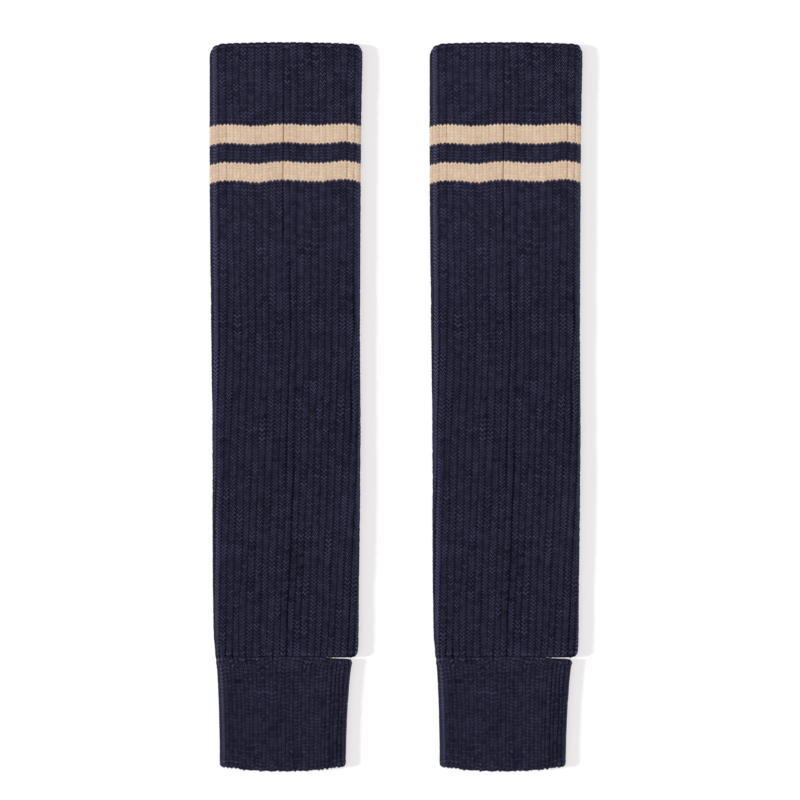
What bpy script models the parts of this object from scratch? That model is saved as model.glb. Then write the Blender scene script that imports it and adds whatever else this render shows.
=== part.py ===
"""A pair of ribbed knit arm warmers, lying flat side by side.

Each warmer is a long tube in a broad rib, with two cream stripes near its upper end, and a shorter cuff
in a finer rib. Body and cuff are joined along one round, which is left open at the right fold as a
thumb slit. A tube's front and back lie on each other with a thin hollow between them, and part halfway
down each fold, so that the hollow stays open. The ribs are raised on the front and round the folds, over
a plain inside, and the underside is flat where it rests.

X runs across the pair, Y along it towards the upper ends, and Z up from the surface it lies on.
Lengths in the tables are in millimetres.
"""

import math
from collections import namedtuple

import bmesh
import bpy

MM = 0.001

# Where things lie along a warmer, measured down from its upper edge.
TOTAL_LENGTH = 460.5
BODY_LENGTH = 388.0
SEAM_GAP = 0.3
STRIPES = ((52.5, 63.2), (76.5, 87.2))

# The pair: the same warmer twice, the same way round.
PAIR_PITCH = 139.0

# A section of the tube: its two folds, measured from the warmer's middle line, its thickness over both
# layers, and the place of the groove that counts as number 0.
Section = namedtuple("Section", "down left right thick middle_groove")

BODY_SECTIONS = (
    Section(0.0, -47.5, 47.7, 5.0, -1.6),
    Section(8.0, -47.7, 48.2, 5.4, -1.6),
    Section(STRIPES[0][0], -47.7, 47.3, 5.4, -1.6),
    Section(STRIPES[0][1], -47.8, 47.2, 5.4, -1.6),
    Section(STRIPES[1][0], -47.7, 47.2, 5.4, -1.6),
    Section(STRIPES[1][1], -47.7, 47.1, 5.4, -1.6),
    Section(150.0, -47.1, 46.7, 5.4, -1.6),
    Section(190.0, -46.6, 46.6, 5.4, -1.6),
    Section(242.0, -46.1, 47.0, 5.4, -3.2),
    Section(293.0, -45.9, 46.7, 5.4, -4.8),
    Section(340.0, -45.8, 46.0, 5.4, -6.5),
    Section(375.0, -45.2, 45.7, 5.3, -7.6),
    Section(BODY_LENGTH, -44.2, 45.4, 5.0, -8.0),
)
CUFF_SECTIONS = (
    Section(BODY_LENGTH + SEAM_GAP, -43.8, 42.0, 4.64, 0.2),
    Section(400.0, -42.8, 40.3, 4.62, 0.0),
    Section(420.0, -41.9, 38.8, 4.6, 0.0),
    Section(441.0, -41.4, 37.8, 4.59, 0.0),
    Section(TOTAL_LENGTH, -41.3, 37.5, 4.57, 0.0),
)

# A groove that lies deeper than the others for part of the way, counted from the middle one, and the share
# of that way over which it deepens and eases off.
DeepGroove = namedtuple("DeepGroove", "number start stop extra")
DEEP_EASE = 0.15

BODY_DEEP_GROOVES = (
    DeepGroove(-9, 8.0, 388.0, 0.35),
    DeepGroove(0, 2.0, 135.0, 0.5),
    DeepGroove(1, 120.0, 293.0, 0.5),
    DeepGroove(2, 250.0, 388.0, 0.45),
    DeepGroove(3, 356.0, 388.0, 0.3),
    DeepGroove(10, 8.0, 258.0, 0.4),
    DeepGroove(11, 290.0, 388.0, 0.4),
)
CUFF_DEEP_GROOVES = (
    DeepGroove(0, 390.0, 455.0, 0.4),
    DeepGroove(2, 388.0, 412.0, 0.25),
)

# The knit of each tube: ribs all round, the ones from first to last that show on the front and the folds,
# the depth of a groove, the wall at a fold, and the thin gap between the layers.
BODY_KNIT = {"ribs": 44, "first": -13, "last": 15, "groove": 0.95, "wall": 2.4, "gap": 0.6}
CUFF_KNIT = {"ribs": 66, "first": -18, "last": 18, "groove": 0.45, "wall": 2.1, "gap": 0.4}

# A rib's shape, from one groove to the next: how far along its pitch, and what share of a groove's depth.
RibStep = namedtuple("RibStep", "along sunk")
BODY_RIB = (RibStep(0.0, 1.0), RibStep(0.24, 0.2), RibStep(0.5, 0.0), RibStep(0.76, 0.2))
CUFF_RIB = (RibStep(0.0, 1.0), RibStep(0.3, 0.0), RibStep(0.7, 0.0))
PLAIN_RIB = (RibStep(0.0, 1.0),)

# The hollow between the layers is that gap, which widens to a small loop inside each fold. The folds part
# at these levels, which lie inside the hollow all the way along.
BODY_PARTING = 2.6
CUFF_PARTING = 2.3
PARTING_SNAP = 0.02
# A height of None is the gap's own.
LoopStep = namedtuple("LoopStep", "from_fold height")
FOLD_LOOP = (
    LoopStep(0.0, 0.0),
    LoopStep(0.5, 1.0),
    LoopStep(1.6, 1.2),
    LoopStep(4.5, None),
    LoopStep(24.0, None),
)

# The knitted edges roll over a little where a tube ends, and hardly at all where body and cuff join.
EDGE_ROUND = 0.9
EDGE_INSET = 0.7
SEAM_INSET = 0.1
SLIT_LIP = 6.0

# Edge lines: how far the upper edge falls from its middle, and the lower one rises.
EDGE_FADE = 30.0
TOP_DOME = 1.1
TOP_CORNER = 3.6
HEM_DOME = 3.4
HEM_POWER = 2.2
CORNER_START = 0.9

# The thumb slit, from its closed end out to the right fold.
SLIT_START = 26.9
SLIT_OPEN = 1.6
BODY_CORNER_START = 34.0
BODY_CORNER_RISE = 4.2
CUFF_CORNER_START = 37.0
CUFF_CORNER_DROP = 2.4

NAVY = (0.017, 0.020, 0.050, 1.0)
CREAM = (0.730, 0.545, 0.375, 1.0)
YARN_ROUGHNESS = 0.9
SHARP_ANGLE = math.radians(60.0)


def smooth_step(value, start, stop):
    """0 before start, 1 after stop and an even curve between them."""
    share = min(1.0, max(0.0, (value - start) / (stop - start)))
    return share * share * (3.0 - 2.0 * share)


def fold_arc(section):
    """Half the straight width of a section and the length of one fold's half circle."""
    straight = (section.right - section.left - section.thick) / 2.0
    return straight, math.pi * section.thick / 2.0


def girth(section):
    straight, arc = fold_arc(section)
    return 4.0 * straight + 2.0 * arc


def outline_point(section, along):
    """The point at a length along a section's outline, from the middle of its front towards the right.

    Returns x, z and the outward normal. Half the girth away lies the middle of the flat underside.
    """
    straight, arc = fold_arc(section)
    radius = section.thick / 2.0
    middle = (section.left + section.right) / 2.0
    around = girth(section)
    along = (along + around / 2.0) % around - around / 2.0
    side = math.copysign(1.0, along)
    along = abs(along)
    if along <= straight:
        return middle + side * along, section.thick, 0.0, 1.0
    if along <= straight + arc:
        angle = (along - straight) / radius
        out_x = side * math.sin(angle)
        out_z = math.cos(angle)
        return middle + side * straight + out_x * radius, radius + out_z * radius, out_x, out_z
    return middle + side * (2.0 * straight + arc - along), 0.0, 0.0, -1.0


def rib_places(knit, rib):
    """A ring's points as (groove number, step): a rib's full shape on the front and the folds, and one
    point a rib on the hidden underside."""
    places = []
    start = -knit["ribs"] // 2
    for number in range(start, start + knit["ribs"]):
        shows = knit["first"] <= number < knit["last"]
        places += [(number, step) for step in (rib if shows else PLAIN_RIB)]
    return places


def groove_depth(knit, deep_grooves, number, down):
    """The depth of one groove, with what a deep one adds where it runs."""
    depth = knit["groove"]
    for deep in deep_grooves:
        if deep.number == number:
            reach = DEEP_EASE * (deep.stop - deep.start)
            rising = smooth_step(down, deep.start - 1.0, deep.start + reach)
            depth += deep.extra * rising * (1.0 - smooth_step(down, deep.stop - reach, deep.stop + 1.0))
    return depth


def outer_ring(section, knit, rib, deep_grooves, inset_at):
    """The ring's outer points as (x, z), pressed in at the grooves except on the flat underside."""
    pitch = girth(section) / knit["ribs"]
    start = section.middle_groove - (section.left + section.right) / 2.0
    points = []
    for number, step in rib_places(knit, rib):
        x, z, out_x, out_z = outline_point(section, start + (number + step.along) * pitch)
        shows = min(1.0, 1.0 + out_z)
        depth = inset_at(x) + shows * step.sunk * groove_depth(knit, deep_grooves, number, section.down)
        points.append((x - out_x * depth, z - out_z * depth))
    return points


def inner_ring(section, knit):
    """The plain hollow's points as (x, z), in the same turning sense as the outer ones."""
    left = section.left + knit["wall"]
    right = section.right - knit["wall"]
    level = section.thick / 2.0
    loop = [(step.from_fold, knit["gap"] if step.height is None else step.height) for step in FOLD_LOOP]
    rows = [(left + from_fold, height) for from_fold, height in loop]
    rows += [(right - from_fold, height) for from_fold, height in reversed(loop)]
    upper = [(x, level + height / 2.0) for x, height in rows]
    lower = [(x, level - height / 2.0) for x, height in reversed(rows[1:-1])]
    return upper + lower


def blend_sections(first, second, share):
    return Section(*(a + (b - a) * share for a, b in zip(first, second)))


def no_inset(x):
    return 0.0


def free_edge(x):
    return EDGE_INSET


def seam_edge(x):
    """Body and cuff meet almost squarely, up to the thumb slit, whose lips are rounded."""
    return SEAM_INSET + (EDGE_INSET - SEAM_INSET) * smooth_step(x, SLIT_START, SLIT_START + SLIT_LIP)


def end_rings(sections, head_edge, tail_edge):
    """The sections, with one more a rounding's width in from each end, and how each is inset."""
    head = EDGE_ROUND / (sections[1].down - sections[0].down)
    tail = EDGE_ROUND / (sections[-1].down - sections[-2].down)
    rows = [(sections[0], head_edge)]
    rows.append((blend_sections(sections[0], sections[1], head), no_inset))
    rows += [(section, no_inset) for section in sections[1:-1]]
    rows.append((blend_sections(sections[-1], sections[-2], tail), no_inset))
    rows.append((sections[-1], tail_edge))
    return rows


def corner_rise(across, start, stop, rise):
    """A rounded corner: nothing up to start, then a quarter of an ellipse that rises by rise at stop."""
    share = min(1.0, max(0.0, (across - start) / (stop - start)))
    return rise * (1.0 - math.sqrt(1.0 - share * share))


def half_share(section, x):
    """How far x lies from the section's middle towards a fold, from 0 to 1."""
    middle = (section.left + section.right) / 2.0
    return min(1.0, abs(x - middle) * 2.0 / (section.right - section.left))


def body_shift(section, x):
    """How far a body point lies below its section's line, from the shapes of the tube's two edges."""
    across = half_share(section, x)
    corner = corner_rise(across, CORNER_START, 1.0, TOP_CORNER)
    near_top = 1.0 - smooth_step(section.down, 0.0, EDGE_FADE)
    near_seam = smooth_step(section.down, BODY_LENGTH - EDGE_FADE, BODY_LENGTH)
    round_corner = corner_rise(x, BODY_CORNER_START, BODY_SECTIONS[-1].right, BODY_CORNER_RISE)
    return near_top * (TOP_DOME * across * across + corner) - near_seam * round_corner


def cuff_shift(section, x):
    """How far a cuff point lies below its section's line."""
    across = half_share(section, x)
    near_seam = 1.0 - smooth_step(section.down, BODY_LENGTH, BODY_LENGTH + EDGE_FADE)
    near_hem = smooth_step(section.down, TOTAL_LENGTH - EDGE_FADE, TOTAL_LENGTH)
    opening = SLIT_OPEN * smooth_step(x, SLIT_START, CUFF_SECTIONS[0].right)
    corner = corner_rise(x, CUFF_CORNER_START, CUFF_SECTIONS[0].right, CUFF_CORNER_DROP)
    return near_seam * (opening + corner) - near_hem * HEM_DOME * across ** HEM_POWER


def add_ring(bm, section, points, shift):
    ring = []
    for x, z in points:
        ring.append(bm.verts.new((x * MM, -(section.down + shift(section, x)) * MM, z * MM)))
    return ring


def bridge(bm, first, second, stripe=False):
    """Quads between two rings of the same number of points."""
    for index in range(len(first)):
        before = index - 1
        face = bm.faces.new((first[before], first[index], second[index], second[before]))
        face.material_index = 1 if stripe else 0


def ring_turns(ring):
    """Each point's turn about the ring's middle, as a share of a full turn, as if the ring were round."""
    across = [v.co.x for v in ring]
    heights = [v.co.z for v in ring]
    middle_x = (min(across) + max(across)) / 2.0
    middle_z = (min(heights) + max(heights)) / 2.0
    stretch = (max(across) - min(across)) / (max(heights) - min(heights))
    turns = [math.atan2(stretch * (v.co.z - middle_z), v.co.x - middle_x) for v in ring]
    return [-turn / (2.0 * math.pi) % 1.0 for turn in turns]


def from_first_turn(ring):
    """A ring's points and turns, started at the lowest turn and closed with the first one again."""
    turns = ring_turns(ring)
    first = turns.index(min(turns))
    ring = ring[first:] + ring[:first + 1]
    turns = turns[first:] + turns[:first]
    return ring, turns + [1.0 + turns[0]]


def close_wall(bm, outer, inner):
    """Triangles across the wall at a tube's end, between two rings with unlike numbers of points."""
    outer, outer_turns = from_first_turn(outer)
    inner, inner_turns = from_first_turn(inner)
    i = 0
    j = 0
    while i < len(outer) - 1 or j < len(inner) - 1:
        inner_done = j == len(inner) - 1
        outer_next = i < len(outer) - 1 and outer_turns[i + 1] <= inner_turns[min(j + 1, len(inner) - 1)]
        if inner_done or outer_next:
            bm.faces.new((outer[i], outer[i + 1], inner[j]))
            i += 1
        else:
            bm.faces.new((outer[i], inner[j + 1], inner[j]))
            j += 1


def in_stripe(first, second):
    middle = (first.down + second.down) / 2.0
    return any(upper < middle < lower for upper, lower in STRIPES)


def closed_tube(rows, knit, rib, deep_grooves, shift):
    """The ribbed outside, the plain hollow and the wall's two rounded ends."""
    bm = bmesh.new()
    outer_rings = []
    inner_rings = []
    for section, inset_at in rows:
        ribbed = outer_ring(section, knit, rib, deep_grooves, inset_at)
        outer_rings.append(add_ring(bm, section, ribbed, shift))
        inner_rings.append(add_ring(bm, section, inner_ring(section, knit), shift))
    for index in range(len(rows) - 1):
        stripe = in_stripe(rows[index][0], rows[index + 1][0])
        bridge(bm, outer_rings[index], outer_rings[index + 1], stripe)
        bridge(bm, inner_rings[index], inner_rings[index + 1])
    close_wall(bm, outer_rings[0], inner_rings[0])
    close_wall(bm, outer_rings[-1], inner_rings[-1])
    return bm


def layer_mesh(name, tube, parting, side):
    """One closed body: the front layer of a tube where side is 1 and the back one where it is -1, from
    half a seam's gap beyond the level at which the folds part."""
    bm = tube.copy()
    cut = bmesh.ops.bisect_plane(
        bm,
        geom=bm.verts[:] + bm.edges[:] + bm.faces[:],
        dist=PARTING_SNAP * MM,
        plane_co=(0.0, 0.0, (parting + side * SEAM_GAP / 2.0) * MM),
        plane_no=(0.0, 0.0, side),
        clear_inner=True,
    )
    rims = [edge for edge in cut["geom_cut"] if isinstance(edge, bmesh.types.BMEdge)]
    for fold in (-1.0, 1.0):
        rim = [edge for edge in rims if edge.verts[0].co.x * fold > 0.0]
        bmesh.ops.triangle_fill(bm, edges=rim, use_beauty=True, normal=(0.0, 0.0, -side))
    bmesh.ops.recalc_face_normals(bm, faces=bm.faces)
    mesh = bpy.data.meshes.new(name)
    bm.to_mesh(mesh)
    bm.free()
    mesh.shade_smooth()
    mesh.set_sharp_from_angle(angle=SHARP_ANGLE)
    return mesh


def yarn_material(name, colour):
    material = bpy.data.materials.new(name)
    material.use_nodes = True
    material.diffuse_color = colour
    shader = material.node_tree.nodes["Principled BSDF"]
    shader.inputs["Base Color"].default_value = colour
    shader.inputs["Roughness"].default_value = YARN_ROUGHNESS
    shader.inputs["Metallic"].default_value = 0.0
    return material


def place(collection, name, mesh, middle_x):
    """A warmer's layer, with the warmer's upper edge half its length from the pair's middle."""
    piece = bpy.data.objects.new(name, mesh)
    piece.location = (middle_x * MM, TOTAL_LENGTH / 2.0 * MM, 0.0)
    collection.objects.link(piece)
    return piece


def build_pair():
    collection = bpy.data.collections.new("arm_warmers")
    bpy.context.scene.collection.children.link(collection)
    body_rows = end_rings(BODY_SECTIONS, free_edge, seam_edge)
    body = closed_tube(body_rows, BODY_KNIT, BODY_RIB, BODY_DEEP_GROOVES, body_shift)
    body_yarns = (yarn_material("navy_body_yarn", NAVY), yarn_material("cream_stripe_yarn", CREAM))
    cuff_rows = end_rings(CUFF_SECTIONS, seam_edge, free_edge)
    cuff = closed_tube(cuff_rows, CUFF_KNIT, CUFF_RIB, CUFF_DEEP_GROOVES, cuff_shift)
    cuff_yarns = (yarn_material("navy_cuff_yarn", NAVY),)
    off_middle = (min(s.left for s in BODY_SECTIONS) + max(s.right for s in BODY_SECTIONS)) / 2.0
    for tube_name, tube, parting, yarns in (
        ("body", body, BODY_PARTING, body_yarns),
        ("cuff", cuff, CUFF_PARTING, cuff_yarns),
    ):
        for layer_name, side in (("front", 1.0), ("back", -1.0)):
            mesh = layer_mesh(tube_name + "_" + layer_name, tube, parting, side)
            for yarn in yarns:
                mesh.materials.append(yarn)
            for warmer_name, warmer_side in (("left", -0.5), ("right", 0.5)):
                middle_x = warmer_side * PAIR_PITCH - off_middle
                place(collection, warmer_name + "_" + mesh.name, mesh, middle_x)
        tube.free()


for old in list(bpy.data.objects):
    bpy.data.objects.remove(old, do_unlink=True)
build_pair()
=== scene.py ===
import math
from collections import namedtuple

import bpy
import numpy as np
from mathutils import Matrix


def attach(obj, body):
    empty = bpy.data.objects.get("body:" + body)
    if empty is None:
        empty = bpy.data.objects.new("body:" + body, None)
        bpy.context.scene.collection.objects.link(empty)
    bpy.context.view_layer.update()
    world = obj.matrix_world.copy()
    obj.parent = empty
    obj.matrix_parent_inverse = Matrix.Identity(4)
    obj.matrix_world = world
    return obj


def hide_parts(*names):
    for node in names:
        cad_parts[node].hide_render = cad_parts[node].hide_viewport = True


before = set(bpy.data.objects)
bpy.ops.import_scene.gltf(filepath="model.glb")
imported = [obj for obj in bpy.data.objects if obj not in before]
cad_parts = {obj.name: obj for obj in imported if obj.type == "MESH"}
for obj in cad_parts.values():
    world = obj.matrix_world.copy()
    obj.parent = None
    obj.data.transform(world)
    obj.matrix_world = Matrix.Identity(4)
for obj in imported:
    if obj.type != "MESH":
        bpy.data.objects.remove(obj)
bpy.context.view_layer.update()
print("the packed frame is in")

# Lengths are in millimetres: down from a warmer's upper edge and across from its middle line.
mm = 0.001
pair = {"length": 460.5, "pitch": 139.0, "offMiddle": 0.2}
seamDown = 388.15  # body and cuff meet here
foldGrowth = 0.5  # the stitches' relief goes inwards from the outline, so the folds start further out
rng = np.random.default_rng(23)

# The two folds, the thickness over both layers and the place of groove number 0, along each tube.
Section = namedtuple("Section", "down left right thick middleGroove")
bodySections = (
    Section(0.0, -47.5, 47.7, 5.0, -1.6),
    Section(8.0, -47.7, 48.2, 5.4, -1.6),
    Section(52.5, -47.7, 47.3, 5.4, -1.6),
    Section(87.2, -47.7, 47.1, 5.4, -1.6),
    Section(150.0, -47.1, 46.7, 5.4, -1.6),
    Section(190.0, -46.6, 46.6, 5.4, -1.6),
    Section(242.0, -46.1, 47.0, 5.4, -3.2),
    Section(293.0, -45.9, 46.7, 5.4, -4.8),
    Section(340.0, -45.8, 46.0, 5.4, -6.5),
    Section(375.0, -45.2, 45.7, 5.3, -7.6),
    Section(388.0, -44.2, 45.4, 5.0, -8.0),
)
cuffSections = (
    Section(388.0, -43.8, 42.0, 4.64, 0.2),
    Section(400.0, -42.8, 40.3, 4.62, 0.0),
    Section(420.0, -41.9, 38.8, 4.6, 0.0),
    Section(441.0, -41.4, 37.8, 4.59, 0.0),
    Section(460.5, -41.3, 37.5, 4.57, 0.0),
)

# Where the courses lie, counted from each tube's upper edge. They are a little shorter in the stripes.
CourseMark = namedtuple("CourseMark", "course down")
bodyCourses = (
    CourseMark(0, 1.2), CourseMark(24, 52.6), CourseMark(30, 64.2), CourseMark(36, 76.3),
    CourseMark(42, 87.9), CourseMark(80, 167.4), CourseMark(110, 230.6), CourseMark(184, seamDown),
)
cuffCourses = (CourseMark(0, seamDown), CourseMark(34, 459.6))

# How deep the grooves between ribs are on the way down, and those that are deeper for part of it.
GrooveMark = namedtuple("GrooveMark", "down depth")
DeepGroove = namedtuple("DeepGroove", "number start stop extra")
bodyGrooves = (GrooveMark(0, 0.4), GrooveMark(110, 0.46), GrooveMark(175, 0.85), GrooveMark(388, 1.0))
cuffGrooves = (GrooveMark(388, 0.62), GrooveMark(460, 0.56))
bodyDeep = (
    DeepGroove(-9, 8.0, 388.0, 0.4), DeepGroove(-8, 4.0, 110.0, 0.4), DeepGroove(0, 2.0, 135.0, 0.78),
    DeepGroove(1, 120.0, 293.0, 0.6), DeepGroove(2, 250.0, 388.0, 0.7), DeepGroove(3, 356.0, 388.0, 0.35),
    DeepGroove(9, 6.0, 120.0, 0.5), DeepGroove(10, 8.0, 258.0, 0.5), DeepGroove(11, 290.0, 388.0, 0.6),
)
bodyDeep += tuple(DeepGroove(number, 380.0, 388.0, 0.32) for number in range(-8, 11, 2))  # forks at the seam
cuffDeep = (DeepGroove(0, 388.0, 455.0, 0.5), DeepGroove(2, 388.0, 412.0, 0.3))

# One rib's columns of points: where each lies along the rib's pitch, its share of the groove's depth and of
# the crease between a stitch's two legs, and how far the stitch rises there, in courses.
Column = namedtuple("Column", "along sunk crease rise")
bodyColumns = (
    Column(0.0, 1.0, 0.0, 0.2), Column(0.2, 0.3, 0.0, 0.95), Column(0.36, 0.04, 0.0, 0.5),
    Column(0.5, 0.0, 1.0, 0.0), Column(0.64, 0.04, 0.0, 0.5), Column(0.8, 0.3, 0.0, 0.95),
)
cuffColumns = (
    Column(0.0, 1.0, 0.0, 0.2), Column(0.3, 0.1, 0.0, 0.8),
    Column(0.5, 0.0, 1.0, 0.0), Column(0.7, 0.1, 0.0, 0.8),
)

# One course's rows of points: the dip between two courses, then a strand's two shoulders.
rowPhases = (0.0, 0.34, 0.67)


def smoothStep(value, start, stop):
    share = np.clip((value - start) / (stop - start), 0.0, 1.0)
    return share * share * (3.0 - 2.0 * share)


def evenTrack(sections, reach):
    # the sections' values every millimetre, with the corners between them eased
    down = np.arange(sections[0].down, sections[-1].down + 1.0)
    bell = np.hanning(2 * reach + 3)[1:-1]
    track = {"down": down}
    grown = {"left": -foldGrowth, "right": foldGrowth}
    for name in Section._fields[1:]:
        plain = np.interp(down, [s.down for s in sections], [getattr(s, name) for s in sections])
        before = 2.0 * plain[0] - plain[reach:0:-1]
        after = 2.0 * plain[-1] - plain[-2:-2 - reach:-1]
        track[name] = np.convolve(np.concatenate([before, plain, after]), bell / bell.sum(), "valid")
        track[name] += grown.get(name, 0.0)
    return track


def wanderLines(lines, first, last, reach):
    # one slow random wave for each line, with a spread of about 1 and a new value every reach
    knots = np.arange(first - reach, last + 3.0 * reach, reach)
    return {"first": knots[0], "reach": reach, "values": rng.normal(size=(lines, len(knots)))}


def wanderAt(wander, down):
    share = (down - wander["first"]) / wander["reach"]
    index = share.astype(int)
    part = smoothStep(share - index, 0.0, 1.0)
    return (wander["values"][:, index] * (1.0 - part) + wander["values"][:, index + 1] * part).T


def tubeAt(track, down):
    return [np.interp(down, track["down"], track[name]) for name in Section._fields[1:]]


def ringStart(knit, down):
    # how far round the tube groove number 0 lies, and the pitch of its ribs
    left, right, thick, groove = tubeAt(knit["track"], down)
    girth = 2.0 * (right - left - thick) + math.pi * thick
    return groove - (left + right) / 2.0, girth / knit["ribs"]


def ringPoint(track, down, along):
    # a point of the tube's outline, from the middle of its front towards the right, and the way out there
    left, right, thick, _ = tubeAt(track, down)
    radius = thick / 2.0
    straight = (right - left - thick) / 2.0
    arc = math.pi * radius
    girth = 4.0 * straight + 2.0 * arc
    turn = (along + girth / 2.0) % girth - girth / 2.0
    side = np.where(turn < 0.0, -1.0, 1.0)
    far = np.abs(turn)
    angle = np.clip((far - straight) / radius, 0.0, math.pi)
    flat = np.where(far < straight, far, np.where(far > straight + arc, 2.0 * straight + arc - far, straight))
    outX = side * np.sin(angle)
    outZ = np.cos(angle)
    return (left + right) / 2.0 + side * flat + radius * outX, radius + radius * outZ, outX, outZ


def halfShare(track, down, x):
    # 0 at the tube's middle line, -1 at its left fold and 1 at its right one
    left, right, _, _ = tubeAt(track, down)
    return np.clip((x - (left + right) / 2.0) * 2.0 / (right - left), -1.0, 1.0)


def cornerRise(across, start, stop, rise):
    share = np.clip((across - start) / (stop - start), 0.0, 1.0)
    return rise * (1.0 - np.sqrt(1.0 - share * share))


# The edges' shapes: a domed upper edge and hem, and the slit's two rounded lips. They are near the solids'
# but not the same: the slit starts further in here, is narrower, and has smaller corners.
edge = {"fade": 30.0, "topDome": 1.3, "leftCorner": 5.6, "leftStart": 0.8, "rightCorner": 3.6,
        "rightStart": 0.88, "hemDome": 3.4, "hemPower": 2.2, "scallop": 0.5, "hemScallop": 1.3}
slit = {"start": 24.0, "open": 0.8, "lip": 1.8, "ease": 3.5, "bodyCorner": 2.4, "bodyCornerStart": 40.0,
        "bodyFold": 45.4, "cuffCorner": 0.7, "cuffCornerStart": 40.3, "cuffFold": 42.0}


def bodyEdges(track, down, x):
    across = halfShare(track, down, x)
    nearTop = 1.0 - smoothStep(down, 0.0, edge["fade"])
    nearSeam = smoothStep(down, seamDown - edge["fade"], seamDown)
    top = edge["topDome"] * across ** 2 + cornerRise(across, edge["rightStart"], 1.0, edge["rightCorner"])
    top = top + cornerRise(-across, edge["leftStart"], 1.0, edge["leftCorner"])
    corner = cornerRise(x, slit["bodyCornerStart"], slit["bodyFold"], slit["bodyCorner"])
    return nearTop * top - nearSeam * corner


def cuffEdges(track, down, x):
    across = np.abs(halfShare(track, down, x))
    nearSeam = 1.0 - smoothStep(down, seamDown, seamDown + edge["fade"])
    nearHem = smoothStep(down, pair["length"] - edge["fade"], pair["length"])
    opening = slit["open"] * smoothStep(x, slit["start"], slit["cuffFold"] - 6.0)
    corner = cornerRise(x, slit["cuffCornerStart"], slit["cuffFold"], slit["cuffCorner"])
    lip = slit["lip"] * smoothStep(x, slit["start"], slit["start"] + slit["ease"])
    lipped = (1.0 - smoothStep(down, seamDown, seamDown + 6.0)) * lip
    return nearSeam * (opening + corner) + lipped - nearHem * edge["hemDome"] * across ** edge["hemPower"]


def squeezedIn(x):
    # the body's ribs, carried on to the narrower top of the cuff
    return x - (slit["bodyFold"] - slit["cuffFold"]) * smoothStep(x, slit["start"], slit["bodyFold"])


def carriedEdges(track, down, x):
    return cuffEdges(track, down, squeezedIn(x))


def courseWave(track, down, x):
    # the courses aren't quite straight across: a low wave that falls off at both folds
    strength = smoothStep(down, 0.0, 75.0) * (1.0 - 0.75 * smoothStep(down, 110.0, 330.0))
    wave = -0.6 * np.cos(2.0 * math.pi * x / 38.0) - 0.010 * x + 1.4 * halfShare(track, down, x) ** 10
    return strength * wave


def nearStripes(down):
    # the stitches lie more evenly from one stripe to the other, which keeps their edges neat
    return 1.0 - smoothStep(np.abs(down - 70.0), 18.0, 34.0)


body = {
    "track": evenTrack(bodySections, 12), "ribs": 44, "first": -22, "columns": bodyColumns, "wall": 2.4,
    "grooves": bodyGrooves, "deep": bodyDeep, "courses": bodyCourses,
    "crease": 0.2, "dip": 0.46, "uneven": 0.25, "meander": 0.07, "lean": 0.08, "ragged": 0.09,
    "groovesWander": wanderLines(44, 0.0, 465.0, 24.0), "meanderWander": wanderLines(44, 0.0, 465.0, 30.0),
    "leanWander": wanderLines(44, 0.0, 465.0, 40.0), "stagger": 0.6,
    "staggerWander": wanderLines(44, 0.0, 465.0, 14.0),
}
cuff = {
    "track": evenTrack(cuffSections, 6), "ribs": 66, "first": -36, "columns": cuffColumns, "wall": 2.0,
    "grooves": cuffGrooves, "deep": cuffDeep, "courses": cuffCourses,
    "crease": 0.12, "dip": 0.36, "uneven": 0.25, "meander": 0.08, "lean": 0.05, "ragged": 0.07,
    "groovesWander": wanderLines(66, 380.0, 462.0, 18.0),
    "meanderWander": wanderLines(66, 380.0, 462.0, 22.0),
    "leanWander": wanderLines(66, 380.0, 462.0, 30.0), "stagger": 0.5,
    "staggerWander": wanderLines(66, 380.0, 462.0, 12.0),
}


def grooveDepths(knit, down):
    # rows of grooves: each one's uneven depth, and what a deep one adds
    marks = knit["grooves"]
    depth = np.interp(down, [m.down for m in marks], [m.depth for m in marks])[:, None]
    depth = depth * (1.0 + knit["uneven"] * wanderAt(knit["groovesWander"], down))
    extra = np.zeros_like(depth)
    for deep in knit["deep"]:
        ease = 0.15 * (deep.stop - deep.start)
        rising = smoothStep(down, deep.start - 1.0, deep.start + ease)
        shown = rising * (1.0 - smoothStep(down, deep.stop - ease, deep.stop + 1.0))
        extra[:, deep.number - knit["first"]] += deep.extra * shown
    return np.clip(depth, 0.15, 1.6), extra


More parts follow.
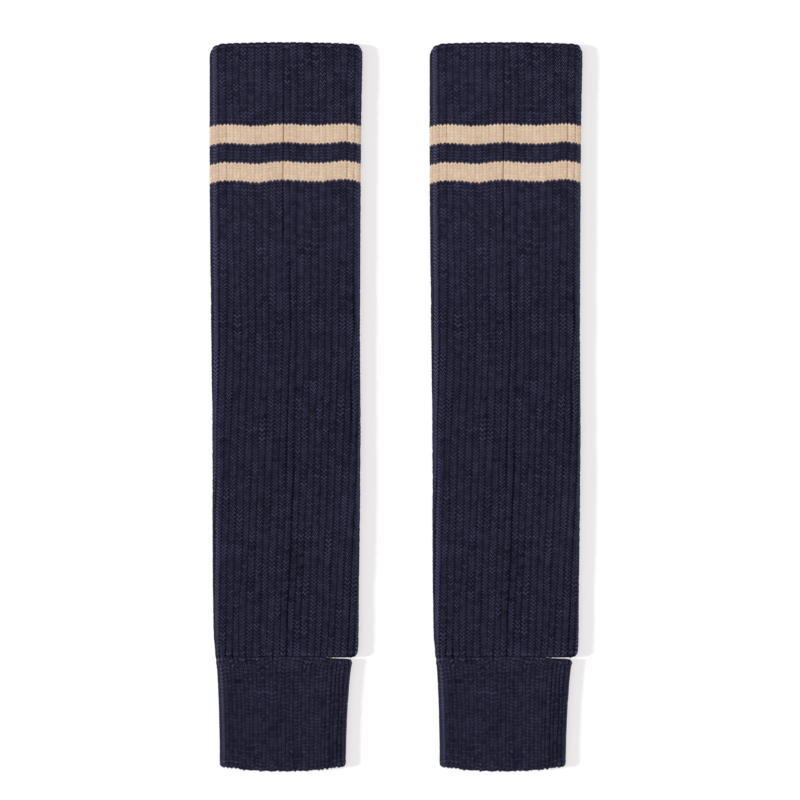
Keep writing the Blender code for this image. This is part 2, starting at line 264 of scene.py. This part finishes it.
def layRibs(knit, down, tall, rise, edges, filled, scallop=0.0):
    # the ribbed tube at these rows, before its strands: places, ways out and how far each point is sunk
    ribs = knit["ribs"]
    columns = knit["columns"]
    left = np.repeat(np.arange(ribs), len(columns))
    right = (left + 1) % ribs
    along, sunk, crease, climb = (np.tile([c[n] for c in columns], ribs) for n in range(4))
    meander = wanderAt(knit["meanderWander"], down) * knit["meander"]
    calm = 1.0 - 0.8 * nearStripes(down)[:, None]
    stagger = wanderAt(knit["staggerWander"], down) * knit["stagger"] * calm
    before = np.where(along < 0.5, np.clip(0.5 - 2.5 * along, 0.0, 0.5), 0.0)
    after = np.where(along > 0.5, np.clip(2.5 * along - 2.0, 0.0, 0.5), 0.0)
    step = stagger[:, left - 1] * before + stagger[:, right] * after
    step = step + stagger[:, left] * (1.0 - before - after)
    lean = wanderAt(knit["leanWander"], down)[:, left] * knit["lean"]
    place = knit["first"] + left + along + meander[:, left] * (1.0 - along) + meander[:, right] * along
    place = place + lean * 4.0 * along * (1.0 - along)
    level = np.broadcast_to(down[:, None], place.shape)
    start, pitch = ringStart(knit, level)
    x = ringPoint(knit["track"], level, start + place * pitch)[0]
    level = level - rise[:, None] * tall[:, None] * (climb - 0.5 + step) + scallop * (sunk - 0.5)
    level = level + courseWave(knit["track"], down[:, None], x) + edges(knit["track"], down[:, None], x)
    start, pitch = ringStart(knit, level)
    turn = start + place * pitch
    x, z, outX, outZ = ringPoint(knit["track"], level, turn)
    nearest = np.where(along < 0.5, left, right)
    plain, extra = grooveDepths(knit, down)
    groove = sunk * (plain * filled)[:, nearest] + np.sqrt(sunk) * extra[:, nearest]
    groove = np.minimum(groove, knit["wall"] - 0.6)
    return {"x": x, "z": z, "outX": outX, "outZ": outZ, "down": level, "sunk": groove,
            "half": halfShare(knit["track"], level, x), "depth": groove + crease * knit["crease"]}


def courseRows(knit, first, last):
    # course numbers row by row, their places down and the height of a course there
    course = np.array([c + p for c in range(first, last) for p in rowPhases] + [float(last)])
    numbers = [m.course for m in knit["courses"]]
    places = [m.down for m in knit["courses"]]
    down = np.interp(course, numbers, places)
    upper = np.interp(np.maximum(course - 0.5, numbers[0]), numbers, places)
    lower = np.interp(np.minimum(course + 0.5, numbers[-1]), numbers, places)
    span = np.minimum(course + 0.5, numbers[-1]) - np.maximum(course - 0.5, numbers[0])
    return course, down, (lower - upper) / span


def filledGrooves(ribs, rows):
    # a groove is deepest in the dips between courses, and each stitch beside it fills it in its own measure
    share = np.ones((rows, ribs))
    for row in range(rows):
        if row % len(rowPhases):
            share[row] = np.clip(0.5 + 0.2 * rng.normal(size=ribs), 0.1, 1.0)
    return share


def strandDepths(knit, course):
    # the dips between courses, and each leg's own thickness; the crease and the groove belong to both
    rows = len(course)
    legs = np.array([0 if c.along < 0.5 else 1 for c in knit["columns"]])
    own = np.array([0.0 if c.along in (0.0, 0.5) else 1.0 for c in knit["columns"]])
    stitch = rng.normal(size=(rows // len(rowPhases) + 1, knit["ribs"], 2)) * knit["ragged"]
    number = np.arange(rows) // len(rowPhases)
    isDip = np.arange(rows) % len(rowPhases) == 0
    ragged = stitch[number][:, :, legs] * own
    ragged = ragged.reshape(rows, -1) * ~isDip[:, None]
    weak = 1.0 - 0.55 * np.tile([c.sunk for c in knit["columns"]], knit["ribs"])
    dips = knit["dip"] * isDip[:, None] * weak * (1.0 + 0.25 * rng.normal(size=ragged.shape))
    return dips + ragged


def pressed(grid):
    # the underside lies pressed against the surface, so its relief is lower
    return 0.6 + 0.4 * np.clip(1.0 + grid["outZ"], 0.0, 1.0)


def gridPoints(grid):
    # each point's place and, for the shade and highlight painted in the yarn's material, how far it is sunk
    # and how near a fold it lies
    depth = np.maximum(grid["depth"], 0.0) * pressed(grid)
    x, z = grid["x"] - grid["outX"] * depth, grid["z"] - grid["outZ"] * depth
    return np.stack([x, -grid["down"], z, grid["sunk"], grid["half"]], axis=2)


# The body: its courses lie straight at the upper edge and at the seam, and are stitches from there on.
bodyCourse, bodyDown, bodyTall = courseRows(body, 0, 184)
bodyRise = smoothStep(bodyCourse, 0.0, 1.2) * smoothStep(184.0 - bodyCourse, 0.0, 0.7)
bodyRise = bodyRise * (1.0 - 0.25 * nearStripes(bodyDown))
topScallop = edge["scallop"] * (1.0 - smoothStep(bodyCourse, 0.0, 4.0))[:, None]
bodyFilled = filledGrooves(body["ribs"], len(bodyCourse))
bodyGrid = layRibs(body, bodyDown, bodyTall, bodyRise, bodyEdges, bodyFilled, topScallop)
bodyGrid["depth"] = bodyGrid["depth"] + strandDepths(body, bodyCourse)
print("the body's stitches are laid:", bodyGrid["x"].shape)

# The cuff: its first rows lie on the body's last ring, and three cuff grooves grow out of two body grooves.
cuffCourse, cuffDown, cuffTall = courseRows(cuff, 0, 34)
cuffRise = smoothStep(cuffCourse, 0.0, 1.2) * smoothStep(34.0 - cuffCourse, 0.0, 0.7)
cuffFilled = filledGrooves(cuff["ribs"], len(cuffCourse))
carriedFilled = filledGrooves(body["ribs"], len(cuffCourse))
hemScallop = -edge["hemScallop"] * smoothStep(cuffCourse, 32.0, 34.0)[:, None]
hemScallop = hemScallop * np.repeat(rng.uniform(0.3, 1.7, cuff["ribs"]), len(cuffColumns))
cuffGrid = layRibs(cuff, cuffDown, cuffTall, cuffRise, cuffEdges, cuffFilled, hemScallop)
carried = layRibs(body, cuffDown, cuffTall, cuffRise, carriedEdges, carriedFilled)
carried["x"] = squeezedIn(carried["x"])
strands = strandDepths(cuff, cuffCourse)
share = (1.0 - smoothStep(cuffDown, seamDown, seamDown + 7.0))[:, None]
carried["depth"] = carried["depth"] + (bodyGrid["depth"][-1] - carried["depth"][0])
cuffGrid["depth"] = cuffGrid["depth"] + strands
for name in cuffGrid:
    cuffGrid[name] = carried[name] * share + cuffGrid[name] * (1.0 - share)
# for the colour alone: the rows at the seam count as sunk, which paints shade along it as a dark line
bodyGrid["sunk"] = bodyGrid["sunk"] + 0.36 * smoothStep(bodyCourse, 183.0, 184.0)[:, None]
cuffGrid["sunk"] = cuffGrid["sunk"] + 0.4 * (1.0 - smoothStep(cuffCourse, 0.3, 1.6))[:, None]
print("the cuff's stitches are laid:", cuffGrid["x"].shape)


def rolledEdge(knit, grid, row, towards, columns=slice(None), ease=1.0):
    # half a turn over an edge, then the wall's plain inside a little way in; towards is 1 at a lower edge
    at = {name: values[row][columns] for name, values in grid.items()}
    depth = np.maximum(at["depth"], 0.0) * pressed(at)
    radius = (knit["wall"] - depth) / 2.0 * ease
    rings = []
    for degrees in (45, 90, 135, 180):
        inward = depth + radius * (1.0 - math.cos(math.radians(degrees)))
        down = at["down"] + towards * radius * math.sin(math.radians(degrees))
        x, z = at["x"] - at["outX"] * inward, at["z"] - at["outZ"] * inward
        rings.append(np.stack([x, -down, z, at["sunk"], at["half"]], axis=1))
    inner = rings[-1]
    for far in (2.5, 5.0, 8.0):
        ring = inner.copy()
        ring[:, 1] += towards * far
        rings.append(ring)
    return np.array(rings)


def knitMesh(name, patches):
    # one mesh from grids of points; a dip between courses, a groove and a stitch's crease stay sharp
    mesh = bpy.data.meshes.new(name)
    points, faces, knitPlaces, bakePlaces, rowKeys, columnKeys = [], [], [], [], [], []
    offset = 0
    for patch in patches:
        grid = patch["points"]
        rows, columns = grid.shape[:2]
        index = np.arange(rows * columns).reshape(rows, columns) + offset
        nextIndex = np.roll(index, -1, axis=1)
        last = columns if patch["closed"] else columns - 1
        a, b = index[:-1, :last], nextIndex[:-1, :last]
        d, c = index[1:, :last], nextIndex[1:, :last]
        faces.append(np.stack([a, d, c, b], axis=2).reshape(-1, 4))
        u0 = np.broadcast_to(patch["place"][:last], (rows - 1, last))
        u1 = np.broadcast_to(patch["place"][1:last + 1], (rows - 1, last))
        v0 = np.broadcast_to(patch["course"][:-1, None], (rows - 1, last))
        v1 = np.broadcast_to(patch["course"][1:, None], (rows - 1, last))
        knitPlaces.append(np.stack([u0, v0, u0, v1, u1, v1, u1, v0], axis=2).reshape(-1, 2))
        left, right, low, high = patch["bake"]
        across = left + (right - left) * np.arange(last + 1) / last
        up = high - (high - low) * np.arange(rows) / (rows - 1)
        u0 = np.broadcast_to(across[:-1], (rows - 1, last))
        u1 = np.broadcast_to(across[1:], (rows - 1, last))
        v0 = np.broadcast_to(up[:-1, None], (rows - 1, last))
        v1 = np.broadcast_to(up[1:, None], (rows - 1, last))
        bakePlaces.append(np.stack([u0, v0, u0, v1, u1, v1, u1, v0], axis=2).reshape(-1, 2))
        rowKey = np.where(patch["sharpRows"], np.arange(rows), -1)[:, None]
        columnKey = np.where(patch["sharpColumns"], np.arange(columns), -1)[None, :]
        rowKeys.append(np.broadcast_to(rowKey, (rows, columns)).ravel())
        columnKeys.append(np.broadcast_to(columnKey, (rows, columns)).ravel())
        points.append(grid.reshape(-1, 5))
        offset += rows * columns
    points = np.concatenate(points)
    kinds = {"sunk": points[:, 3].copy(), "half": points[:, 4].copy()}
    points = points[:, :3] * mm
    faces = np.concatenate(faces)
    mesh.vertices.add(len(points))
    mesh.vertices.foreach_set("co", points.ravel())
    mesh.loops.add(faces.size)
    mesh.loops.foreach_set("vertex_index", faces.ravel().astype(np.int32))
    mesh.polygons.add(len(faces))
    mesh.polygons.foreach_set("loop_start", np.arange(0, faces.size, 4, dtype=np.int32))
    mesh.update(calc_edges=True)
    for layer, places in (("OFBake", bakePlaces), ("Knit", knitPlaces)):
        mesh.uv_layers.new(name=layer).data.foreach_set("uv", np.concatenate(places).ravel())
    for kind, values in kinds.items():
        mesh.attributes.new(kind, "FLOAT", "POINT").data.foreach_set("value", values)
    ends = np.empty(len(mesh.edges) * 2, dtype=np.int32)
    mesh.edges.foreach_get("vertices", ends)
    first, second = ends[0::2], ends[1::2]
    rowKeys, columnKeys = np.concatenate(rowKeys), np.concatenate(columnKeys)
    sharp = (rowKeys[first] == rowKeys[second]) & (rowKeys[first] >= 0)
    sharp |= (columnKeys[first] == columnKeys[second]) & (columnKeys[first] >= 0)
    mesh.attributes.new("sharp_edge", "BOOLEAN", "EDGE").data.foreach_set("value", sharp)
    mesh.validate()
    return mesh


def knitPatch(knit, grid, course, first, last, head=None, tail=None, bake=(0.0, 1.0, 0.0, 1.0)):
    # the rows of a run of courses, with a rolled edge before or after them
    rows = slice(first * len(rowPhases), last * len(rowPhases) + 1)
    points = gridPoints(grid)[rows]
    courses = course[rows]
    sharp = np.arange(rows.start, rows.stop) % len(rowPhases) == 0
    if head is not None:
        points = np.concatenate([head[::-1], points])
        courses = np.concatenate([courses[0] - 0.4 * np.arange(len(head), 0, -1), courses])
        sharp[0] = False
        sharp = np.concatenate([np.zeros(len(head), bool), sharp])
    if tail is not None:
        points = np.concatenate([points, tail])
        courses = np.concatenate([courses, courses[-1] + 0.4 * np.arange(1, len(tail) + 1)])
        sharp[-1] = False
        sharp = np.concatenate([sharp, np.zeros(len(tail), bool)])
    return {"points": points, "place": knitPlaces(knit), "course": courses, "closed": True, "bake": bake,
            "sharpRows": sharp, "sharpColumns": sharpColumns(knit)}


def knitPlaces(knit):
    along = [c.along for c in knit["columns"]]
    places = [knit["first"] + rib + a for rib in range(knit["ribs"]) for a in along]
    return np.array(places + [knit["first"] + knit["ribs"]])


def sharpColumns(knit):
    return np.tile([c.along in (0.0, 0.5) for c in knit["columns"]], knit["ribs"])


def lipPatch(knit, grid, row, towards, course, bake):
    # the rolled lip of the slit, from the front round the right fold to the back
    columns = np.flatnonzero(grid["x"][row] > slit["start"] + 0.3)
    columns = np.roll(columns, -np.flatnonzero(np.diff(columns, append=columns[0]) != 1)[0] - 1)
    ease = smoothStep(grid["x"][row][columns], slit["start"], slit["start"] + slit["ease"])
    ease = np.clip(ease, 0.08, 1.0)
    start = gridPoints(grid)[row][columns]
    rings = np.concatenate([start[None], rolledEdge(knit, grid, row, towards, columns, ease)])
    if towards < 0:
        rings = rings[::-1]
    courses = course + 0.4 * np.arange(len(rings))
    return {"points": rings, "place": np.append(knitPlaces(knit)[columns], 0.0), "course": courses,
            "closed": False, "bake": bake, "sharpRows": np.zeros(len(rings), bool),
            "sharpColumns": sharpColumns(knit)[columns]}


# Yarn, as a node material on the "Knit" places, which count ribs across and courses along. These are the
# same for both colours: where along a warmer a look sets in (in mm), how near a fold, and the noises' scales.
yarn = {
    "strandMiddle": 0.52, "creaseFrom": 0.38, "creaseTo": 0.49, "hollowCore": 0.03,
    "fullFrom": 110.0, "fullTo": 180.0, "cuffFrom": 380.0, "cuffTo": 392.0,
    "deepFoldFrom": 0.5, "deepFoldTo": 0.8, "leftFoldIn": (0.88, 0.94), "leftFoldOut": (0.95, 0.995),
    "rightFoldIn": (0.94, 0.985), "unevenScale": 900.0, "slowScale": 60.0, "fibreScale": 4200.0,
    "ribApart": 5.17, "ribStretch": 0.45, "litShare": 0.35, "bump": 0.0001,
}


def yarnMaterial(name, look):
    material = bpy.data.materials.new(name)
    material.use_nodes = True
    nodes = material.node_tree.nodes
    links = material.node_tree.links
    shader = nodes["Principled BSDF"]

    def mathNode(kind, a, b=None):
        node = nodes.new("ShaderNodeMath")
        node.operation = kind
        for slotNumber, value in enumerate((a, b)):
            if value is None:
                continue
            if isinstance(value, (int, float)):
                node.inputs[slotNumber].default_value = value
            else:
                links.new(value, node.inputs[slotNumber])
        return node.outputs[0]

    def easeBetween(value, low, high):
        node = nodes.new("ShaderNodeMapRange")
        node.interpolation_type = "SMOOTHSTEP"
        links.new(value, node.inputs["Value"])
        node.inputs["From Min"].default_value = low
        node.inputs["From Max"].default_value = high
        return node.outputs["Result"]

    def noise(vector, scale, detail=2.0, rough=0.5):
        node = nodes.new("ShaderNodeTexNoise")
        node.inputs["Scale"].default_value = scale
        node.inputs["Detail"].default_value = detail
        node.inputs["Roughness"].default_value = rough
        links.new(vector, node.inputs["Vector"])
        return node.outputs["Fac"]

    def mixColours(factor, a, b):
        node = nodes.new("ShaderNodeMix")
        node.data_type = "RGBA"
        for label, value in (("Factor_Float", factor), ("A_Color", a), ("B_Color", b)):
            socket = next(s for s in node.inputs if s.identifier == label)
            if isinstance(value, (int, float, tuple)):
                socket.default_value = value
            else:
                links.new(value, socket)
        return next(s for s in node.outputs if s.identifier == "Result_Color")

    knitPlace = nodes.new("ShaderNodeUVMap")
    knitPlace.uv_map = "Knit"
    split = nodes.new("ShaderNodeSeparateXYZ")
    links.new(knitPlace.outputs["UV"], split.inputs[0])
    where = nodes.new("ShaderNodeTexCoord").outputs["Object"]

    inRib = mathNode("FRACT", split.outputs["X"])
    inStrand = mathNode("FRACT", split.outputs["Y"])
    sunk, half = nodes.new("ShaderNodeAttribute"), nodes.new("ShaderNodeAttribute")
    sunk.attribute_name, half.attribute_name = "sunk", "half"
    # painted shade: darker deep in the grooves, in the dips between courses, along the rib lines and in each
    # stitch's crease
    hollow = easeBetween(sunk.outputs["Fac"], look["hollowFrom"], look["hollowTo"])
    fromStrand = mathNode("ABSOLUTE", mathNode("SUBTRACT", inStrand, yarn["strandMiddle"]))
    fromStrand = mathNode("MULTIPLY", fromStrand, 2.0)
    dip = easeBetween(fromStrand, look["dipFrom"], look["dipTo"])
    fromGroove = mathNode("SUBTRACT", 0.5, mathNode("ABSOLUTE", mathNode("SUBTRACT", inRib, 0.5)))
    line = mathNode("SUBTRACT", 1.0, easeBetween(fromGroove, look["lineFrom"], look["lineTo"]))
    middle = easeBetween(fromGroove, yarn["creaseFrom"], yarn["creaseTo"])

    # the stitches show more along the lower arm than near the top and in the cuff, through painted shade in
    # the dips and rib lines that is stronger there
    ownPlace = nodes.new("ShaderNodeSeparateXYZ")
    links.new(where, ownPlace.inputs[0])
    lower = mathNode("MULTIPLY", ownPlace.outputs["Y"], -1000.0)
    inCuff = easeBetween(lower, yarn["cuffFrom"], yarn["cuffTo"])
    full = mathNode("SUBTRACT", easeBetween(lower, yarn["fullFrom"], yarn["fullTo"]), inCuff)
    dipStrength = mathNode("ADD", look["dipShare"], mathNode("MULTIPLY", full, look["dipMore"]))
    dip = mathNode("MULTIPLY", dip, dipStrength)
    narrow = mathNode("SUBTRACT", 1.0, easeBetween(fromGroove, yarn["hollowCore"], look["hollowWide"]))
    hollow = mathNode("MULTIPLY", mathNode("MULTIPLY", hollow, narrow), look["hollowShare"])
    # more painted shade on the cuff's rib lines towards its right fold
    nearFold = easeBetween(half.outputs["Fac"], yarn["deepFoldFrom"], yarn["deepFoldTo"])
    nearFold = mathNode("MULTIPLY", nearFold, inCuff)
    strength = mathNode("ADD", look["line"], mathNode("MULTIPLY", nearFold, look["lineFold"]))
    strength = mathNode("ADD", strength, mathNode("MULTIPLY", full, look["lineMore"]))
    groove = mathNode("MAXIMUM", hollow, mathNode("MULTIPLY", line, strength))
    groove = mathNode("MAXIMUM", groove, mathNode("MULTIPLY", middle, look["middle"]))

    # two plies twist round each leg, mirrored on the two legs of a stitch
    side = mathNode("SIGN", mathNode("SUBTRACT", inRib, 0.5))
    twist = mathNode("ADD", mathNode("MULTIPLY", mathNode("MULTIPLY", inRib, side), look["plies"]), inStrand)
    ply = mathNode("SINE", mathNode("MULTIPLY", twist, 2.0 * math.pi))

    # colour: each leg has its own tone, one side of each rib is painted paler and the other darker as if lit
    # from one side, every second course is duller, the yarn is uneven, and the dips and grooves get painted
    # shade, darker than the lamps alone leave them
    def ownTone(x, y):
        cell = nodes.new("ShaderNodeCombineXYZ")
        links.new(mathNode("FLOOR", x), cell.inputs[0])
        if y is not None:
            links.new(mathNode("FLOOR", y), cell.inputs[1])
        node = nodes.new("ShaderNodeTexWhiteNoise")
        node.noise_dimensions = "2D"
        links.new(cell.outputs[0], node.inputs["Vector"])
        return node.outputs["Value"]

    def weighted(parts):
        total = None
        for value, weight in parts:
            part = mathNode("MULTIPLY", value, weight)
            total = part if total is None else mathNode("ADD", total, part)
        return total

    legTone = ownTone(mathNode("MULTIPLY", split.outputs["X"], 2.0), split.outputs["Y"])
    # painted light and shade: one side of each rib paler, the other darker
    paintedLitSide = mathNode("SUBTRACT", ownTone(split.outputs["X"], None), yarn["litShare"])
    paintedLitSide = mathNode("MULTIPLY", paintedLitSide, side)
    second = mathNode("GREATER_THAN", mathNode("FRACT", mathNode("MULTIPLY", split.outputs["Y"], 0.5)), 0.5)
    uneven = easeBetween(noise(where, yarn["unevenScale"]), 0.3, 0.7)
    slow = easeBetween(noise(where, yarn["slowScale"], 1.0), 0.3, 0.7)
    alongRib = nodes.new("ShaderNodeCombineXYZ")
    ribNumber = mathNode("FLOOR", split.outputs["X"])
    links.new(mathNode("MULTIPLY", ribNumber, yarn["ribApart"]), alongRib.inputs[0])
    links.new(mathNode("MULTIPLY", split.outputs["Y"], yarn["ribStretch"]), alongRib.inputs[1])
    ribTone = easeBetween(noise(alongRib.outputs[0], 1.0, 1.0), 0.3, 0.7)
    # painted, not lit: a paler band along both folds, as in the photo, wider at the left one
    across = mathNode("MULTIPLY", half.outputs["Fac"], -1.0)
    leftFold = easeBetween(across, *yarn["leftFoldIn"])
    leftFold = mathNode("SUBTRACT", leftFold, easeBetween(across, *yarn["leftFoldOut"]))
    rightFold = easeBetween(half.outputs["Fac"], *yarn["rightFoldIn"])
    fold = weighted(((leftFold, look["leftFold"]), (rightFold, look["rightFold"])))

    tone = mathNode("ADD", weighted((
        (legTone, look["legs"]), (uneven, look["uneven"]), (ribTone, look["ribs"]), (paintedLitSide, look["sides"]),
        (mathNode("MULTIPLY", second, slow), -look["second"]), (inCuff, -look["cuffDuller"]))), look["plain"])
    colour = mixColours(tone, look["dark"], look["light"])
    # the fold band is a painted highlight
    colour = mixColours(fold, colour, look["fold"])
    colour = mixColours(dip, colour, look["dip"])
    colour = mixColours(groove, colour, look["hollow"])
    links.new(colour, shader.inputs["Base Color"])

    # relief too fine for the mesh: plies and fibres
    fibres = noise(where, yarn["fibreScale"], 3.0, 0.7)
    height = weighted(((ply, look["plyHeight"]), (fibres, look["fibreHeight"])))
    bump = nodes.new("ShaderNodeBump")
    bump.inputs["Strength"].default_value = 1.0
    bump.inputs["Distance"].default_value = yarn["bump"]
    links.new(height, bump.inputs["Height"])
    links.new(bump.outputs["Normal"], shader.inputs["Normal"])
    rough = nodes.new("ShaderNodeMapRange")
    links.new(fibres, rough.inputs["Value"])
    rough.inputs["To Min"].default_value = look["roughLow"]
    rough.inputs["To Max"].default_value = look["roughHigh"]
    links.new(rough.outputs["Result"], shader.inputs["Roughness"])
    shader.inputs["Specular IOR Level"].default_value = look["specular"]
    shader.inputs["Sheen Weight"].default_value = look["sheen"]
    shader.inputs["Sheen Roughness"].default_value = look["sheenRough"]
    shader.inputs["Sheen Tint"].default_value = look["sheenTint"]
    return material


# In each look the dip, hollow, line and middle values set painted shade, the fold values a painted highlight,
# and the weight for one side of each rib its painted light and shade.
navyLook = {
    "dark": (0.0050, 0.0045, 0.0100, 1.0), "light": (0.0620, 0.0590, 0.1200, 1.0),
    "plain": 0.29, "legs": 0.36, "uneven": 0.14, "ribs": 0.3, "sides": -0.14, "second": 0.2,
    "cuffDuller": 0.06,
    "dip": (0.0030, 0.0028, 0.0060, 1.0), "dipShare": 0.75, "dipMore": 0.08, "dipFrom": 0.05, "dipTo": 0.65,
    "hollow": (0.0020, 0.0018, 0.0040, 1.0), "hollowShare": 0.9, "hollowFrom": 0.3, "hollowTo": 1.1,
    "hollowWide": 0.34,
    "line": 0.5, "lineFold": 0.3, "lineMore": 0.05, "lineFrom": 0.05, "lineTo": 0.26, "middle": 0.2,
    "fold": (0.1500, 0.1550, 0.3000, 1.0), "leftFold": 0.44, "rightFold": 0.48,
    "plies": 4.0, "plyHeight": 0.35, "fibreHeight": 1.0, "roughLow": 0.8, "roughHigh": 0.95,
    "specular": 0.04, "sheen": 0.08, "sheenRough": 0.3, "sheenTint": (0.35, 0.4, 0.75, 1.0),
}
creamLook = {
    "dark": (0.500, 0.360, 0.250, 1.0), "light": (0.800, 0.650, 0.515, 1.0),
    "plain": 0.30, "legs": 0.24, "uneven": 0.20, "ribs": 0.06, "sides": -0.06, "second": 0.05,
    "cuffDuller": 0.0,
    "dip": (0.400, 0.250, 0.150, 1.0), "dipShare": 0.22, "dipMore": 0.0, "dipFrom": 0.25, "dipTo": 0.9,
    "hollow": (0.380, 0.180, 0.075, 1.0), "hollowShare": 0.85, "hollowFrom": 0.4, "hollowTo": 0.85,
    "hollowWide": 0.2,
    "line": 0.30, "lineFold": 0.0, "lineMore": 0.0, "lineFrom": 0.02, "lineTo": 0.14, "middle": 0.16,
    "fold": (0.800, 0.650, 0.515, 1.0), "leftFold": 0.1, "rightFold": 0.1,
    "plies": 4.0, "plyHeight": 0.35, "fibreHeight": 1.0, "roughLow": 0.8, "roughHigh": 0.95,
    "specular": 0.15, "sheen": 0.05, "sheenRough": 0.45, "sheenTint": (1.0, 0.93, 0.85, 1.0),
}
navy = yarnMaterial("navyYarn", navyLook)
cream = yarnMaterial("creamYarn", creamLook)

# The stretches of knit, each its own piece: the yarn changes at the stripes.
upperRoll = rolledEdge(body, bodyGrid, 0, -1)
hemRoll = rolledEdge(cuff, cuffGrid, -1, 1)
mainPart = (0.0, 1.0, 0.06, 1.0)
lipPart = (0.0, 0.5, 0.0, 0.05)
Stretch = namedtuple("Stretch", "name knit first last yarn slot")
stretches = (
    Stretch("upperBand", "body", 0, 24, navy, "navy_knit"),
    Stretch("upperStripe", "body", 24, 30, cream, "cream_knit"),
    Stretch("middleBand", "body", 30, 36, navy, "navy_knit"),
    Stretch("lowerStripe", "body", 36, 42, cream, "cream_knit"),
    Stretch("upperArm", "body", 42, 113, navy, "navy_knit"),
    Stretch("lowerArm", "body", 113, 184, navy, "navy_knit"),
    Stretch("cuffKnit", "cuff", 0, 34, navy, "navy_knit"),
)
tubes = {"body": (body, bodyGrid, bodyCourse), "cuff": (cuff, cuffGrid, cuffCourse)}
triangles = 0
for stretch in stretches:
    knit, grid, course = tubes[stretch.knit]
    extra = {}
    if stretch.name == "upperBand":
        extra["head"] = upperRoll
    if stretch.name == "cuffKnit":
        extra["tail"] = hemRoll
    if stretch.name in ("lowerArm", "cuffKnit"):
        extra["bake"] = mainPart
    patches = [knitPatch(knit, grid, course, stretch.first, stretch.last, **extra)]
    if stretch.name == "lowerArm":
        patches.append(lipPatch(body, bodyGrid, -1, 1, 184.0, lipPart))
    if stretch.name == "cuffKnit":
        patches.append(lipPatch(cuff, cuffGrid, 0, -1, -3.0, lipPart))
    mesh = knitMesh(stretch.name, patches)
    mesh.materials.append(stretch.yarn)
    for side, half in (("left", -0.5), ("right", 0.5)):
        piece = bpy.data.objects.new(side + stretch.name[0].upper() + stretch.name[1:], mesh)
        piece.location = ((half * pair["pitch"] - pair["offMiddle"]) * mm, pair["length"] / 2.0 * mm, 0.0)
        bpy.context.scene.collection.objects.link(piece)
        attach(piece, "root")
        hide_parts(side + "_" + stretch.knit + "_front", side + "_" + stretch.knit + "_back")
        triangles += 2 * len(mesh.polygons)
    print(stretch.name, 2 * len(mesh.polygons), "triangles")
print("both warmers:", triangles, "triangles")

# A pale floor that gives off light itself, soft light from all round, a soft lamp on the left, and a low lamp
# there that falls on the floor alone, for the shadow on the right.
scene = bpy.context.scene
floorMesh = bpy.data.meshes.new("floor")
floorMesh.from_pydata([(-3, -3, 0), (3, -3, 0), (3, 3, 0), (-3, 3, 0)], [], [(0, 1, 2, 3)])
floor = bpy.data.objects.new("floor", floorMesh)
scene.collection.objects.link(floor)
floorPaint = bpy.data.materials.new("floorPaint")
floorPaint.use_nodes = True
floorShader = floorPaint.node_tree.nodes["Principled BSDF"]
floorShader.inputs["Base Color"].default_value = (0.2, 0.2, 0.2, 1.0)
floorShader.inputs["Emission Color"].default_value = (1.0, 0.965, 0.975, 1.0)
floorShader.inputs["Emission Strength"].default_value = 0.61
floorShader.inputs["Roughness"].default_value = 0.9
floorShader.inputs["Specular IOR Level"].default_value = 0.0
floorMesh.materials.append(floorPaint)

light = {"ambient": 0.9, "lamp": 0.30, "lampHeight": 50.0, "shade": 1.12, "shadeHeight": 22.0}
world = bpy.data.worlds.new("studio")
world.use_nodes = True
world.node_tree.nodes["Background"].inputs["Color"].default_value = (1.0, 1.0, 1.0, 1.0)
world.node_tree.nodes["Background"].inputs["Strength"].default_value = light["ambient"]
scene.world = world


def studioLamp(name, share, height, spread):
    # a distant lamp on the left, with its share of a level surface's light
    lamp = bpy.data.lights.new(name, "SUN")
    lamp.energy = share * math.pi / math.sin(math.radians(height))
    lamp.angle = math.radians(spread)
    lampObject = bpy.data.objects.new(name, lamp)
    lampObject.rotation_euler = (0.0, -math.radians(90.0 - height), 0.0)
    scene.collection.objects.link(lampObject)
    return lampObject


studioLamp("softLamp", light["lamp"], light["lampHeight"], 70.0)
lowLamp = studioLamp("lowLamp", light["shade"], light["shadeHeight"], 6.0)
lowLamp.light_linking.receiver_collection = bpy.data.collections.new("lowLampFalls")
lowLamp.light_linking.receiver_collection.objects.link(floor)

# Straight above, as the photograph was taken.
cameraData = bpy.data.cameras.new("camera")
cameraData.lens = 100.0
cameraData.sensor_width = 36.0
cameraData.clip_start = 0.05
camera = bpy.data.objects.new("camera", cameraData)
camera.location = (0.00253, 0.0041, 1.407)
scene.collection.objects.link(camera)
scene.camera = camera
scene.view_settings.view_transform = "Standard"
scene.view_settings.look = "None"
